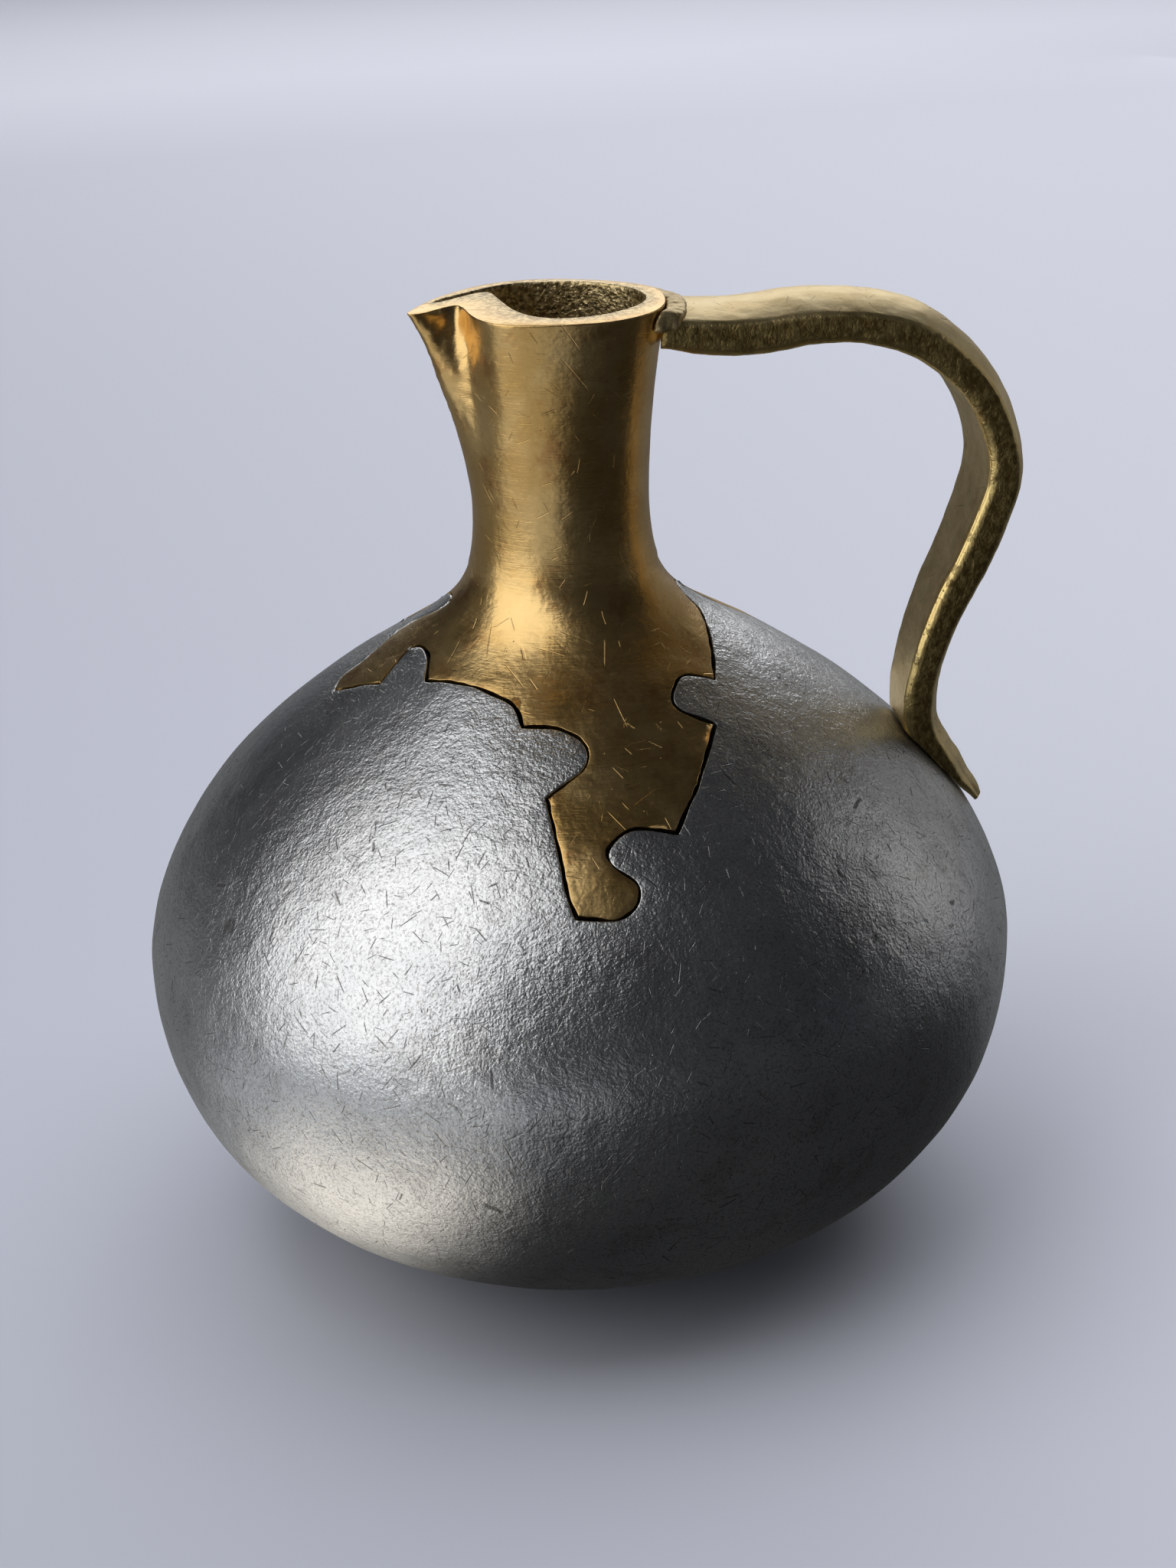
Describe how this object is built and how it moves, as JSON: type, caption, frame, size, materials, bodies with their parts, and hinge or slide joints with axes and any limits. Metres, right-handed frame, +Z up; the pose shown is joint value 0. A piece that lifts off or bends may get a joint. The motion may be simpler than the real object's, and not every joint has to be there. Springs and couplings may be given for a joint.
{
  "type": "metal pitcher",
  "caption": "Round cast metal pitcher with a two-metal body, a narrow flared neck with a pinched pouring lip and a bent strap handle",
  "frame": {"origin": "Centre of the flat underside, on the surface that the pitcher stands on", "axes": "+Z up along the body's axis, +X towards the handle, -X towards the pouring lip, +Y completes a right-handed frame"},
  "size_m": [0.1718, 0.168, 0.1848],
  "materials": {
    "cast_aluminium": "polished by hand over a dimpled cast skin, with fine scratches",
    "brushed_brass": "satin, brushed round the neck, with pits and scratches",
    "strap_brass": "dull rough-cast sides with a smooth worn top",
    "braze_filler": "wrinkled as brazed"
  },
  "bodies": {
    "root": {"body_shell": "cast_aluminium", "neck": "brushed_brass", "handle": "strap_brass", "rim_braze": "braze_filler", "foot_pin": "strap_brass"}
  },
  "joints": []
}
